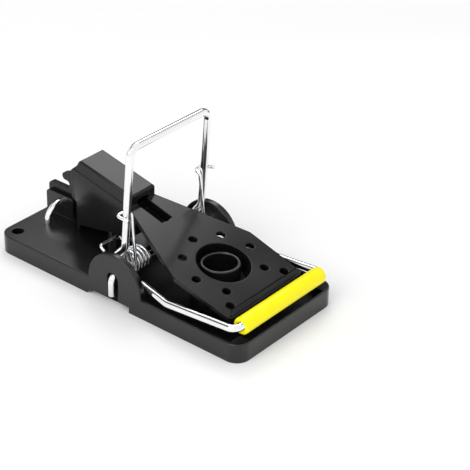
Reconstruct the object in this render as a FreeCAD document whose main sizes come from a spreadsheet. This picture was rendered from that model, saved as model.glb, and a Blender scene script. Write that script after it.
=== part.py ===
import FreeCAD, Part
import math
import os
import Sketcher

# Snap trap for mice, standing on a floor, in millimetres.
# X runs forward to the yellow grip bar, Y across and Z up.
# The origin is at the middle of the base's underside.

SIZES = [
    # moulded base
    ("base_length", 98.0),
    ("base_width", 45.72),
    ("base_height", 6.2),
    ("base_corner", 4.6),
    ("base_edge_round", 0.4),
    ("skin", 1.5),
    ("side_rim", 1.2),
    ("front_rim", 0.7),
    ("block_depth", 4.3),
    ("block_width", 5.5),
    ("deck_setback", 8.2),
    ("rib", 1.2),
    ("rib_rise", 1.4),
    ("floor_rib_rise", 0.8),
    ("screw_hole", 3.7),
    ("screw_inset", 4.2),
    ("screw_side", 4.66),
    ("boss_wall", 1.5),
    # ears that carry the axle
    ("ear_radius", 10.6),
    ("ear_centre_rise", 6.7),
    ("ear_thickness", 2.2),
    ("ear_lead", 0.5),
    ("ear_round", 0.45),
    ("slot_width", 4.3),
    ("notch_front", 6.5),
    ("notch_rear", 10.9),
    ("notch_rise", 2.2),
    ("notch_slope", 2.4),
    # steel wires
    ("axle_x", 0.15),
    ("axle_rise", 10.2),
    ("rod", 2.2),
    ("rod_bend", 2.3),
    ("axle_leg_proud", 0.4),
    ("axle_foot_rise", 3.7),
    ("pin_back", 41.45),
    ("pin_rise", 11.5),
    ("pin_span", 17.0),
    ("pin_bend", 3.6),
    ("pin_sunk", 3.0),
    ("wire", 2.4),
    ("wire_bend", 2.4),
    ("fit", 0.06),
    ("play", 0.3),
    # striker
    ("loop_radius", 41.4),
    ("loop_lean", 3.5),
    ("loop_inset", 0.95),
    ("loop_corner", 3.2),
    ("latch_lean", 79.6),
    ("wrap_gap", 0.25),
    ("knee_rise", 3.8),
    ("knee_bend", 2.0),
    ("shin_rise", 9.2),
    ("shin_bend", 4.0),
    ("shin_flare", 0.3),
    ("butt_gap", 0.2),
    ("splay_bend", 6.0),
    ("ear_gap", 1.31),
    ("arm_inset", 1.76),
    ("arm_rise", 8.2),
    ("splay_start", 8.0),
    ("splay_end", 20.0),
    ("bar_reach", 45.9),
    ("bar_rise", 10.4),
    ("sleeve_dia", 5.3),
    ("sleeve_end_gap", 0.1),
    ("sleeve_play", 0.08),
    ("sleeve_round", 0.5),
    # springs
    ("spring_wire", 1.0),
    ("coil_radius", 3.1),
    ("coil_lift", 1.0),
    ("coil_back", 0.5),
    ("coil_pitch", 1.5),
    ("coil_turns", 3.0),
    ("coil_gap", 0.7),
    ("hook_rise", 19.1),
    ("hook_tail", 2.4),
    ("arm_reach", 12.2),
    ("arm_seat_rise", 12.5),
    ("arm_short", 0.5),
    ("arm_tail", 2.0),
    ("post_shift", 3.35),
    ("post_thick", 1.5),
    ("post_length", 3.0),
    ("post_ahead", 1.1),
    ("post_above", 1.5),
    # tail hinge
    ("cheek_gap", 0.35),
    ("cheek_thick", 1.0),
    ("cheek_length", 11.6),
    ("cheek_ahead", 5.1),
    ("cheek_rise", 13.8),
    ("cheek_corner", 1.2),
    # rocking treadle
    ("plate_tilt", 14.95),
    ("plate_crown", 20.7),
    ("plate_thick", 1.5),
    ("neck_inset", 0.1),
    ("plate_gap", 2.3),
    ("plate_shoulder_x", 20.6),
    ("plate_taper", 0.6),
    ("plate_front_gap", 2.285),
    ("shoulder_round", 4.0),
    ("front_round", 1.6),
    ("hole_gap", 2.3),
    ("hole_lead", 1.257),
    ("ring_gap", 4.0),
    ("well_wall", 1.2),
    ("well_depth", 5.0),
    ("dot", 2.8),
    ("dot_corner_in", 4.0),
    ("dot_corner_side", 4.4),
    ("vent_width", 3.4),
    ("vent_end", 2.1),
    ("lip_gap", 3.05),
    ("lip_thick", 0.8),
    ("lip_inset", 1.8),
    ("lip_rise", 11.6),
    ("box_gap", 2.3),
    ("box_wall", 1.2),
    ("box_front", 8.2),
    ("box_front_rise", 26.8),
    ("box_peak_x", 29.6),
    ("box_peak_rise", 31.5),
    ("box_step_x", 30.8),
    ("box_step_rise", 29.4),
    ("box_back", 33.0),
    ("box_back_rise", 27.4),
    ("waist_rise", 16.6),
    ("waist_in", 1.9),
    ("skirt_front_rise", 12.4),
    ("skirt_back_rise", 8.7),
    ("foot_length", 1.2),
    ("crease_drop", 4.3),
    ("crease_depth", 0.3),
    ("box_round", 0.8),
    ("tail_thick", 1.7),
    ("tail_back", 47.9),
    ("tail_foot", 7.6),
    ("throat", 2.7),
    ("tail_round", 1.5),
    ("throat_ahead", 0.5),
    ("nose_thick", 2.6),
    ("nose_reach", 1.75),
    ("brow_x", 38.3),
    ("brow_rise", 22.8),
    ("brow_drop", 1.8),
    # bait cup
    ("cup_x", 22.8),
    ("cup_dia", 12.4),
    ("cup_rise", 14.0),
    ("cup_wall", 1.1),
    ("flange_lip", 1.1),
    ("cup_flange_thick", 1.2),
    ("cup_floor", 1.2),
    ("cup_play", 0.15),
    ("collar_wall", 1.5),
    ("collar_rise", 4.2),
]


class Size:
    """A length that carries its number and the sheet formula behind it."""

    def __init__(self, number, formula):
        self.number = number
        self.formula = formula

    @staticmethod
    def wrap(thing):
        """Returns a bare number as a Size."""
        if isinstance(thing, Size):
            return thing
        return Size(float(thing), "{:.9g}".format(float(thing)))

    def _join(self, other, sign, number):
        return Size(number, "({} {} {})".format(self.formula, sign, other.formula))

    def __add__(self, other):
        other = Size.wrap(other)
        return self._join(other, "+", self.number + other.number)

    def __sub__(self, other):
        other = Size.wrap(other)
        return self._join(other, "-", self.number - other.number)

    def __mul__(self, other):
        other = Size.wrap(other)
        return self._join(other, "*", self.number * other.number)

    def __truediv__(self, other):
        other = Size.wrap(other)
        return self._join(other, "/", self.number / other.number)

    def __neg__(self):
        return Size(-self.number, "(0 - {})".format(self.formula))

    def sine(self):
        """Returns the sine of an angle in degrees."""
        return Size(math.sin(math.radians(self.number)), "sin({} * 1 deg)".format(self.formula))

    def cosine(self):
        """Returns the cosine of an angle in degrees."""
        return Size(math.cos(math.radians(self.number)), "cos({} * 1 deg)".format(self.formula))


class Sizes:
    """The driving sheet; each cell is an attribute that holds a Size."""

    def __init__(self, doc):
        sheet = doc.addObject("Spreadsheet::Sheet", "Sizes")
        for row, (name, number) in enumerate(SIZES, start=1):
            sheet.set("A{}".format(row), name)
            sheet.set("B{}".format(row), str(number))
            sheet.setAlias("B{}".format(row), name)
        doc.recompute()
        for name, _ in SIZES:
            setattr(self, name, Size(float(sheet.get(name)), "Sizes." + name))
        self.half_length = self.base_length / 2
        self.half_width = self.base_width / 2
        self.pin_x = self.axle_x - self.pin_back
        self.bar_x = self.bar_reach
        self.tray_back = self.axle_x - self.deck_setback
        self.screw_y = self.half_width - self.screw_side
        # the striker lies between the ears, and the springs between its arms
        self.arm_inner = self.half_width - self.ear_thickness - self.ear_gap - self.wire / 2
        self.arm_outer = self.half_width - self.arm_inset
        self.loop_half = self.arm_inner - self.loop_inset
        self.sleeve_half = self.arm_outer - self.wire_bend - self.sleeve_end_gap
        self.coil_outer = self.arm_inner - (self.wire + self.spring_wire) / 2 - self.coil_gap
        self.arm_end = self.coil_outer - self.arm_short
        self.post_inner = self.coil_outer - self.coil_pitch * self.coil_turns - self.post_shift
        self.coil_x = self.axle_x - self.coil_back
        self.coil_rise = self.axle_rise + self.coil_lift
        self.box_width = (self.post_inner - self.box_gap) * 2
        self.plate_neck = self.box_width / 2 - self.neck_inset
        # the bait hole clears the cup, and the plate ends behind the grip sleeve
        grip_back = self.bar_x - self.sleeve_dia / 2
        self.cup_flange = self.cup_dia + self.flange_lip * 2
        self.bait_hole = self.cup_dia + self.hole_gap * 2
        self.bait_hole_x = (self.cup_x + self.hole_lead) / self.plate_tilt.cosine()
        self.ring_radius = self.bait_hole / 2 + self.ring_gap
        self.plate_shoulder = self.arm_outer - self.wire / 2 - self.plate_gap
        self.plate_front = self.plate_shoulder - self.plate_taper
        self.plate_front_x = (grip_back - self.plate_front_gap) / self.plate_tilt.cosine()
        self.lip_x = grip_back - self.lip_gap - self.lip_thick
        self.lip_half = self.plate_front - self.lip_inset
        self.dot_corner_x = self.plate_front_x - self.dot_corner_in
        self.dot_corner_y = self.plate_front - self.dot_corner_side


# sketch and feature helpers


def bind(thing, prop, size):
    """Ties a property to the sheet."""
    size = Size.wrap(size)
    if "Sizes." in size.formula:
        thing.setExpression(prop, size.formula)


def plane_of(body, role):
    """Finds one of a body's own origin planes."""
    return [item for item in body.Origin.OriginFeatures if item.Role == role][0]


def new_sketch(body, name, role, offset=0.0, tilt=None):
    """Places an empty sketch on an origin plane, shifted along its normal and tipped about Y."""
    sketch = body.newObject("Sketcher::SketchObject", name)
    sketch.AttachmentSupport = (plane_of(body, role), [""])
    sketch.MapMode = "FlatFace"
    offset = Size.wrap(offset)
    turn = Size.wrap(tilt if tilt is not None else 0.0)
    sketch.AttachmentOffset = FreeCAD.Placement(
        FreeCAD.Vector(0, 0, offset.number), FreeCAD.Rotation(FreeCAD.Vector(0, 1, 0), turn.number)
    )
    bind(sketch, "AttachmentOffset.Base.z", offset)
    bind(sketch, "AttachmentOffset.Rotation.Angle", turn)
    return sketch


def pin_point(sketch, geo, pos, x, y):
    """Ties one sketch point to two sizes."""
    for size, kind, axis in ((x, "DistanceX", -2), (y, "DistanceY", -1)):
        size = Size.wrap(size)
        if abs(size.number) < 1e-9 and "Sizes." not in size.formula:
            sketch.addConstraint(Sketcher.Constraint("PointOnObject", geo, pos, axis))
            continue
        index = sketch.addConstraint(Sketcher.Constraint(kind, -1, 1, geo, pos, size.number))
        bind(sketch, "Constraints[{}]".format(index), size)


def pin_radius(sketch, geo, radius):
    """Ties the radius of an arc or circle to a size."""
    radius = Size.wrap(radius)
    index = sketch.addConstraint(Sketcher.Constraint("Radius", geo, radius.number))
    bind(sketch, "Constraints[{}]".format(index), radius)


def arc_between(start, end, radius):
    """Returns a short arc; a negative radius turns clockwise."""
    chord = end - start
    half = chord.Length / 2
    rise = math.sqrt(max(radius * radius - half * half, 0.0))
    left = FreeCAD.Vector(-chord.y, chord.x, 0) / chord.Length
    centre = (start + end) / 2 + left * (rise if radius > 0 else -rise)
    first, last = (start, end) if radius > 0 else (end, start)
    low = math.atan2(first.y - centre.y, first.x - centre.x)
    high = math.atan2(last.y - centre.y, last.x - centre.x)
    circle = Part.Circle(centre, FreeCAD.Vector(0, 0, 1), abs(radius))
    return Part.ArcOfCircle(circle, low, high)


def chain(sketch, corners, closed=True):
    """Draws joined edges; a third value at a corner makes the edge that leaves it an arc."""
    spots = [FreeCAD.Vector(Size.wrap(c[0]).number, Size.wrap(c[1]).number, 0) for c in corners]
    count = len(corners) if closed else len(corners) - 1
    ends = []
    for index in range(count):
        start = spots[index]
        end = spots[(index + 1) % len(spots)]
        if len(corners[index]) == 3:
            radius = Size.wrap(corners[index][2])
            geo = sketch.addGeometry(arc_between(start, end, radius.number), False)
            ends.append((geo, 1, 2) if radius.number > 0 else (geo, 2, 1))
        else:
            geo = sketch.addGeometry(Part.LineSegment(start, end), False)
            ends.append((geo, 1, 2))
    for index in range(count if closed else count - 1):
        here = ends[index]
        after = ends[(index + 1) % count]
        sketch.addConstraint(Sketcher.Constraint("Coincident", here[0], here[2], after[0], after[1]))
    for index in range(count):
        pin_point(sketch, ends[index][0], ends[index][1], corners[index][0], corners[index][1])
        if len(corners[index]) == 3:
            size = Size.wrap(corners[index][2])
            pin_radius(sketch, ends[index][0], size if size.number > 0 else -size)
    if not closed:
        pin_point(sketch, ends[-1][0], ends[-1][2], corners[-1][0], corners[-1][1])


def box_chain(sketch, x0, y0, x1, y1):
    """Draws a rectangle."""
    chain(sketch, [(x0, y0), (x1, y0), (x1, y1), (x0, y1)])


def ring(sketch, x, y, dia):
    """Draws a circle from its diameter."""
    x, y, dia = Size.wrap(x), Size.wrap(y), Size.wrap(dia)
    spot = FreeCAD.Vector(x.number, y.number, 0)
    geo = sketch.addGeometry(Part.Circle(spot, FreeCAD.Vector(0, 0, 1), dia.number / 2), False)
    pin_point(sketch, geo, 3, x, y)
    pin_radius(sketch, geo, dia / 2)


def raise_or_cut(kind, body, name, sketch, length, both=False, back=False):
    """Adds a Pad or a Pocket."""
    feature = body.newObject("PartDesign::" + kind, name)
    feature.Profile = sketch
    feature.Length = Size.wrap(length).number
    bind(feature, "Length", length)
    feature.SideType = "Symmetric" if both else "One side"
    feature.Reversed = back
    body.Document.recompute()
    return feature


def pad(body, name, sketch, length, **how):
    """Adds material along the sketch's normal."""
    return raise_or_cut("Pad", body, name, sketch, length, **how)


def cut(body, name, sketch, length, **how):
    """Removes material, and makes sure that some went."""
    before = body.Tip.Shape.Volume
    feature = raise_or_cut("Pocket", body, name, sketch, length, **how)
    if feature.Shape.Volume > before - 1e-6:
        raise ValueError("{} cut nothing".format(name))
    return feature


def mirror(body, name, features, role="XZ_Plane"):
    """Repeats features on the other side."""
    feature = body.newObject("PartDesign::Mirrored", name)
    feature.Originals = features
    feature.MirrorPlane = (plane_of(body, role), [""])
    body.Tip = feature
    body.Document.recompute()
    return feature


def round_edges(body, name, spots, radius, reach=0.5):
    """Fillets the edges whose middles lie near the spots."""
    base = body.Tip
    names = []
    for index, edge in enumerate(base.Shape.Edges, start=1):
        span = edge.ParameterRange
        middle = edge.valueAt((span[0] + span[1]) / 2)
        if any((middle - spot).Length < reach for spot in spots):
            names.append("Edge{}".format(index))
    if not names:
        raise ValueError("{} found no edge".format(name))
    feature = body.newObject("PartDesign::Fillet", name)
    feature.Base = (base, names)
    feature.Radius = Size.wrap(radius).number
    bind(feature, "Radius", radius)
    body.Document.recompute()
    return feature


def vec(x, y, z):
    """Returns a vector from sizes or numbers."""
    return FreeCAD.Vector(Size.wrap(x).number, Size.wrap(y).number, Size.wrap(z).number)


def pipe(body, name, section, spine):
    """Sweeps a section sketch along a spine sketch."""
    feature = body.newObject("PartDesign::AdditivePipe", name)
    feature.Profile = section
    feature.Spine = (spine, ["Edge{}".format(i + 1) for i in range(spine.GeometryCount)])
    body.Document.recompute()
    return feature


# moulded base


def base_block(body, s):
    """The block with its sunk tray in front and its hollow deck behind."""
    sketch = new_sketch(body, "block_outline", "XY_Plane")
    box_chain(sketch, -s.half_length, -s.half_width, s.half_length, s.half_width)
    pad(body, "block", sketch, s.base_height)
    ends = [vec(s.half_length * i, s.half_width * j, s.base_height / 2) for i in (-1, 1) for j in (-1, 1)]
    round_edges(body, "block_corners", ends, s.base_corner)
    top = [vec(0, s.half_width * j, s.base_height) for j in (-1, 1)]
    round_edges(body, "block_edge", top, s.base_edge_round)

    back, side, ear_side = s.tray_back, s.half_width - s.side_rim, s.half_width - s.ear_thickness
    ear_end = s.axle_x + s.ear_lead + s.ear_radius + s.play
    front, block = s.half_length - s.front_rim, s.half_length - s.block_depth
    block_side = s.half_width - s.block_width
    near = [
        (back, -ear_side), (ear_end, -ear_side), (ear_end, -side),
        (block, -side), (block, -block_side), (front, -block_side),
    ]
    far = [(x, -y) for x, y in reversed(near)]
    sketch = new_sketch(body, "tray_outline", "XY_Plane", s.base_height)
    chain(sketch, near + far)
    cut(body, "tray", sketch, s.base_height - s.skin)


def base_ears(body, s):
    """Two round ears with the arched slots for the axle's bent ends."""
    x, z, r = s.axle_x + s.ear_lead, s.ear_centre_rise, s.ear_radius
    foot = s.base_height / 2
    sketch = new_sketch(body, "ear_outline", "XZ_Plane", s.half_width)
    chain(sketch, [(x - r, foot), (x + r, foot), (x + r, z, r), (x, z + r, r), (x - r, z)])
    ear = pad(body, "ear", sketch, s.ear_thickness, back=True)

    x, r = s.axle_x, s.slot_width / 2
    top = s.axle_rise + s.rod / 2 + s.fit
    low = Size.wrap(-1.0)
    sketch = new_sketch(body, "slot_outline", "XZ_Plane", s.half_width)
    chain(sketch, [(x - r, low), (x + r, low), (x + r, top - r, r), (x, top, r), (x - r, top - r)])
    slot = cut(body, "slot", sketch, s.ear_thickness)

    sketch = new_sketch(body, "notch_outline", "XZ_Plane", s.half_width)
    rear = s.axle_x - s.notch_rear
    chain(sketch, [
        (rear, 0), (s.axle_x + s.notch_front, 0),
        (s.axle_x + s.notch_front, s.notch_rise), (rear + s.notch_slope, s.notch_rise),
    ])
    notch = cut(body, "notch", sketch, s.ear_thickness)
    mirror(body, "ear_pair", [ear, slot, notch])

    x, z, r = s.axle_x + s.ear_lead, s.ear_centre_rise, s.ear_radius * math.sqrt(0.5)
    faces = (s.half_width, s.half_width - s.ear_thickness)
    rims = [vec(x + r * i, y * j, z + r) for i in (-1, 1) for j in (-1, 1) for y in faces]
    round_edges(body, "ear_rims", rims, s.ear_round)


def base_underside(body, s):
    """The hollow under the deck, with ribs and bosses for the screws and the pin."""
    x0, x1 = s.skin - s.half_length, s.tray_back - s.skin
    y1 = s.half_width - s.skin
    r = s.base_corner - s.skin
    ceiling = s.base_height - s.skin
    sketch = new_sketch(body, "hollow_outline", "XY_Plane")
    chain(sketch, [
        (x0 + r, -y1), (x1, -y1), (x1, y1), (x0 + r, y1, r), (x0, y1 - r), (x0, r - y1, r),
    ])
    cut(body, "hollow", sketch, ceiling, back=True)

    screw_x, screw_y = s.screw_inset - s.half_length, s.screw_y
    for side, word in ((-1, "near"), (1, "far")):
        sketch = new_sketch(body, "screw_boss_outline_" + word, "XY_Plane")
        ring(sketch, screw_x, screw_y * side, s.screw_hole + s.boss_wall * 2)
        pad(body, "screw_boss_" + word, sketch, ceiling)
        sketch = new_sketch(body, "pin_boss_outline_" + word, "XY_Plane", s.rib_rise)
        ring(sketch, s.pin_x, s.pin_span / 2 * side, s.rod + s.boss_wall * 2)
        pad(body, "pin_boss_" + word, sketch, ceiling - s.rib_rise)

    sketch = new_sketch(body, "cross_rib_outline", "XY_Plane", s.rib_rise)
    middle = (x0 + x1) / 2
    box_chain(sketch, middle - s.rib / 2, -y1, middle + s.rib / 2, y1)
    pad(body, "cross_rib", sketch, ceiling - s.rib_rise)
    sketch = new_sketch(body, "long_rib_outline", "XY_Plane", s.rib_rise)
    box_chain(sketch, x0, -s.rib / 2, x1, s.rib / 2)
    pad(body, "long_rib", sketch, ceiling - s.rib_rise)

    sketch = new_sketch(body, "screw_hole_outline", "XY_Plane", s.base_height)
    for side in (-1, 1):
        ring(sketch, screw_x, screw_y * side, s.screw_hole)
    cut(body, "screw_holes", sketch, s.base_height)
    sketch = new_sketch(body, "pin_hole_outline", "XY_Plane", s.base_height)
    for side in (-1, 1):
        ring(sketch, s.pin_x, s.pin_span / 2 * side, s.rod + s.fit * 2)
    cut(body, "pin_holes", sketch, s.base_height - s.pin_sunk + s.play)


def base_cheeks(body, s):
    """Two upright cheeks that hold the treadle's pin on both sides of its tail."""
    x1 = s.pin_x + s.cheek_ahead
    x0 = x1 - s.cheek_length
    z0, z1, r = s.base_height - s.skin / 2, s.cheek_rise, s.cheek_corner
    sketch = new_sketch(body, "cheek_outline", "XZ_Plane", s.tail_thick / 2 + s.cheek_gap)
    chain(sketch, [(x0, z0), (x1, z0), (x1, z1 - r, r), (x1 - r, z1), (x0 + r, z1, r), (x0, z1 - r)])
    ring(sketch, s.pin_x, s.pin_rise, s.rod + s.fit * 2)
    cheek = pad(body, "cheek", sketch, s.cheek_thick)
    mirror(body, "cheek_pair", [cheek])


def base_posts(body, s):
    """Two forked posts on the deck that hold the springs' rear arms."""
    x = s.axle_x - s.arm_reach
    front = x + s.post_ahead
    top = s.arm_seat_rise + s.post_above
    foot = s.base_height - s.skin / 2
    sketch = new_sketch(body, "post_outline", "XY_Plane", foot)
    box_chain(sketch, front - s.post_length, s.post_inner, front, s.post_inner + s.post_thick)
    post = pad(body, "post", sketch, top - foot)
    w = s.spring_wire / 2 + s.fit
    z = s.arm_seat_rise
    sketch = new_sketch(body, "fork_outline", "XZ_Plane", -s.post_inner)
    chain(sketch, [(x - w, z, w), (x, z - w, w), (x + w, z), (x + w, top), (x - w, top)])
    fork = cut(body, "fork", sketch, s.post_thick)
    mirror(body, "post_pair", [post, fork])


def base_collar(body, s):
    """The collar that guides the bait cup, with two low ribs to the tray's sides."""
    outer = s.cup_flange + (s.cup_play + s.collar_wall) * 2
    rib_top = s.skin + s.floor_rib_rise
    side = s.half_width - s.side_rim
    sketch = new_sketch(body, "floor_rib_outline", "XY_Plane", s.skin / 2)
    box_chain(sketch, s.cup_x - s.rib / 2, -side, s.cup_x + s.rib / 2, side)
    pad(body, "floor_rib", sketch, rib_top - s.skin / 2)
    sketch = new_sketch(body, "collar_outline", "XY_Plane")
    ring(sketch, s.cup_x, 0, outer)
    pad(body, "collar", sketch, s.collar_rise)
    sketch = new_sketch(body, "cup_bore_outline", "XY_Plane", s.collar_rise)
    ring(sketch, s.cup_x, 0, s.cup_dia + s.cup_play * 2)
    cut(body, "cup_bore", sketch, s.collar_rise)
    sketch = new_sketch(body, "flange_seat_outline", "XY_Plane")
    ring(sketch, s.cup_x, 0, s.cup_flange + s.cup_play * 2)
    cut(body, "flange_seat", sketch, s.cup_flange_thick + s.cup_play, back=True)


def make_base(doc, s):
    """One black moulding: tray, deck, ears, cheeks, posts and collar."""
    body = doc.addObject("PartDesign::Body", "base")
    base_block(body, s)
    base_ears(body, s)
    base_underside(body, s)
    base_cheeks(body, s)
    base_posts(body, s)
    base_collar(body, s)
    return body


# rocking treadle


def plate_height(s, x):
    """Height of the sloping plate's upper face at a place along X."""
    return s.plate_crown - x * s.plate_tilt.sine() / s.plate_tilt.cosine()


def on_plate(s, x, y, sunk):
    """A point given along the sloping plate."""
    c, n = s.plate_tilt.cosine(), s.plate_tilt.sine()
    return vec(x * c - sunk * n, y, s.plate_crown - x * n - sunk * c)


def treadle_plate(body, s):
    """The sloping plate with its bait hole and well, scent holes and upturned front lip."""
    c = s.plate_tilt.cosine()
    root = -(s.box_front + s.box_wall) / c
    half = [(root, s.plate_neck), (s.plate_shoulder_x, s.plate_shoulder), (s.plate_front_x, s.plate_front)]
    sketch = new_sketch(body, "plate_outline", "XY_Plane", s.plate_crown, s.plate_tilt)
    chain(sketch, [(x, -y) for x, y in half] + half[::-1])
    pad(body, "plate", sketch, s.plate_thick, back=True)
    sunk = s.plate_thick / 2
    sides = (-1, 1)
    spots = [on_plate(s, s.plate_shoulder_x, s.plate_shoulder * j, sunk) for j in sides]
    round_edges(body, "plate_shoulders", spots, s.shoulder_round)
    spots = [on_plate(s, s.plate_front_x, s.plate_front * j, sunk) for j in sides]
    round_edges(body, "plate_corners", spots, s.front_round)

    sketch = new_sketch(body, "lip_outline", "XZ_Plane")
    low = plate_height(s, s.lip_x) - s.plate_thick / 2
    box_chain(sketch, s.lip_x, low, s.lip_x + s.lip_thick, s.lip_rise)
    pad(body, "lip", sketch, s.lip_half * 2, both=True)

    sketch = new_sketch(body, "well_outline", "XY_Plane", s.plate_crown, s.plate_tilt)
    ring(sketch, s.bait_hole_x, 0, s.bait_hole + s.well_wall * 2)
    pad(body, "well", sketch, s.plate_thick + s.well_depth, back=True)
    sketch = new_sketch(body, "bait_hole_outline", "XY_Plane", s.plate_crown, s.plate_tilt)
    ring(sketch, s.bait_hole_x, 0, s.bait_hole)
    cut(body, "bait_hole", sketch, (s.plate_thick + s.well_depth) * 2)

    sketch = new_sketch(body, "dots_outline", "XY_Plane", s.plate_crown, s.plate_tilt)
    for step in range(1, 8):
        turn = math.radians(45 * step)
        x = s.bait_hole_x if step in (2, 6) else s.bait_hole_x + s.ring_radius * math.cos(turn)
        y = 0 if step == 4 else s.ring_radius * math.sin(turn)
        ring(sketch, x, y, s.dot)
    for side in sides:
        ring(sketch, s.dot_corner_x, s.dot_corner_y * side, s.dot)
    cut(body, "dots", sketch, s.plate_thick * 2)


def box_profile(s):
    """Corners of the hump's outer side view, from its front foot round to its rear foot."""
    foot = s.base_height + s.play
    waist = s.waist_in - s.box_back
    return [
        (-s.box_front, s.skirt_front_rise),
        (-s.box_front, s.box_front_rise),
        (-s.box_peak_x, s.box_peak_rise),
        (-s.box_step_x, s.box_step_rise),
        (-s.box_back, s.box_back_rise),
        (-s.box_back, s.waist_rise + s.waist_in / 2),
        (waist, s.waist_rise),
        (waist, foot),
        (waist + s.foot_length, foot),
        (waist + s.foot_length, s.skirt_back_rise),
    ]


def treadle_box(body, s):
    """The hollow hump that hides the rocker's rear, with its side crease."""
    sketch = new_sketch(body, "box_outline", "XZ_Plane")
    chain(sketch, box_profile(s))
    pad(body, "box", sketch, s.box_width, both=True)

    w = s.box_wall
    low = s.base_height - w
    sketch = new_sketch(body, "box_hollow_outline", "XZ_Plane")
    chain(sketch, [
        (-s.box_front - w, low),
        (-s.box_front - w, s.box_front_rise - w * 0.8),
        (-s.box_peak_x + w * 0.5, s.box_peak_rise - w * 1.14),
        (w * 0.8 - s.box_step_x, s.box_step_rise - w * 0.63),
        (s.waist_in + w - s.box_back, s.box_back_rise - w * 0.3),
        (s.waist_in + w - s.box_back, low),
    ])
    cut(body, "box_hollow", sketch, s.box_width - w * 2, both=True)

    slope = (s.box_peak_rise - s.box_front_rise) / (s.box_peak_x - s.box_front)
    front = s.box_front_rise - s.crease_drop
    back = front + slope * (s.box_back - s.box_front)
    sketch = new_sketch(body, "crease_outline", "XZ_Plane", s.box_width / 2)
    chain(sketch, [
        (-s.box_front, front), (-s.box_front, s.box_peak_rise + w),
        (-s.box_back, s.box_peak_rise + w), (-s.box_back, back),
    ])
    crease = cut(body, "crease", sketch, s.crease_depth)
    mirror(body, "crease_pair", [crease])

    y = s.box_width / 2 - s.crease_depth
    middle_x, middle_z = -(s.box_front + s.box_peak_x) / 2, (s.box_front_rise + s.box_peak_rise) / 2
    spots = [vec(middle_x, y * j, middle_z) for j in (-1, 1)]
    spots += [vec(-s.box_front, 0, s.box_front_rise), vec(-s.box_peak_x, 0, s.box_peak_rise)]
    round_edges(body, "box_rounding", spots, s.box_round)

    w = s.vent_width / 2
    root = -(s.box_front + s.box_wall * 2) / s.plate_tilt.cosine()
    end = s.vent_end
    sketch = new_sketch(body, "vent_outline", "XY_Plane", s.plate_crown, s.plate_tilt)
    chain(sketch, [(root, -w), (end - w, -w, w), (end, 0, w), (end - w, w), (root, w)])
    cut(body, "vent", sketch, s.plate_thick * 2)
    sill = plate_height(s, -s.box_front)
    sketch = new_sketch(body, "vent_mouth_outline", "YZ_Plane", -s.box_front)
    box_chain(sketch, -w, sill - s.plate_thick * 2, w, sill + w)
    cut(body, "vent_mouth", sketch, s.box_wall * 2)


def latch_place(s):
    """Where the loop's top bar lies once it is pulled back under the hook."""
    x = s.axle_x - s.loop_radius * s.latch_lean.sine()
    z = s.axle_rise + s.loop_radius * s.latch_lean.cosine()
    return x, z


def treadle_tail(body, s):
    """The upright tail plate: pin hole below, throat for the loop and hook nose above."""
    bar_x, bar_z = latch_place(s)
    x, r = bar_x + s.throat_ahead, s.throat / 2
    root = s.waist_in + s.box_wall / 2 - s.box_back
    under, nose = bar_z + r, s.nose_thick / 2
    tip = x - s.nose_reach
    end, foot, corner = -s.tail_back, s.tail_foot, s.tail_round
    top = bar_z - r
    sketch = new_sketch(body, "tail_outline", "XZ_Plane")
    chain(sketch, [
        (root, foot),
        (root, s.brow_rise + s.brow_drop),
        (-s.brow_x, s.brow_rise),
        (tip + nose, under + nose * 2, nose),
        (tip, under + nose, nose),
        (tip + nose, under),
        (x, under, -r),
        (x + r, bar_z, -r),
        (x, top),
        (end + corner, top, corner),
        (end, top - corner),
        (end, foot + corner, corner),
        (end + corner, foot),
    ])
    ring(sketch, s.pin_x, s.pin_rise, s.rod + s.fit * 2)
    pad(body, "tail", sketch, s.tail_thick, both=True)


def make_treadle(doc, s):
    """One black moulding: sloping plate, hump, tail plate and hook."""
    body = doc.addObject("PartDesign::Body", "treadle")
    treadle_plate(body, s)
    treadle_box(body, s)
    treadle_tail(body, s)
    return body


# turned and bent pieces


def make_cup(doc, s):
    """The bait cup, turned about its own axis, with a flange at its foot."""
    body = doc.addObject("PartDesign::Body", "bait_cup")
    low, wide, inner = s.cup_play, s.cup_flange / 2, s.cup_dia / 2 - s.cup_wall
    sketch = new_sketch(body, "cup_profile", "XZ_Plane")
    chain(sketch, [
        (0, low), (wide, low), (wide, low + s.cup_flange_thick), (s.cup_dia / 2, low + s.cup_flange_thick),
        (s.cup_dia / 2, s.cup_rise), (inner, s.cup_rise), (inner, low + s.cup_floor), (0, low + s.cup_floor),
    ])
    turn = body.newObject("PartDesign::Revolution", "cup_turn")
    turn.Profile = sketch
    turn.ReferenceAxis = (sketch, ["V_Axis"])
    turn.Angle = 360
    doc.recompute()
    rims = [vec(-s.cup_dia / 2, 0, s.cup_rise), vec(-inner, 0, s.cup_rise)]
    round_edges(body, "cup_rim", rims, s.cup_wall / 3)
    place(body, s.cup_x, 0, 0)
    return body


def place(item, x, y, z):
    """Sets a piece's placement from sizes."""
    item.Placement = FreeCAD.Placement(vec(x, y, z), FreeCAD.Rotation())
    for axis, size in (("x", x), ("y", y), ("z", z)):
        bind(item, "Placement.Base." + axis, size)


def make_sleeve(doc, s):
    """The grip sleeve round the striker's front bar."""
    body = doc.addObject("PartDesign::Body", "grip_sleeve")
    sketch = new_sketch(body, "sleeve_outline", "XZ_Plane")
    ring(sketch, 0, 0, s.sleeve_dia)
    ring(sketch, 0, 0, s.wire + s.sleeve_play * 2)
    pad(body, "tube", sketch, s.sleeve_half * 2, both=True)
    ends = [vec(-s.sleeve_dia / 2, s.sleeve_half * j, 0) for j in (-1, 1)]
    round_edges(body, "tube_ends", ends, s.sleeve_round)
    place(body, s.bar_x, 0, s.bar_rise)
    return body


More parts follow.
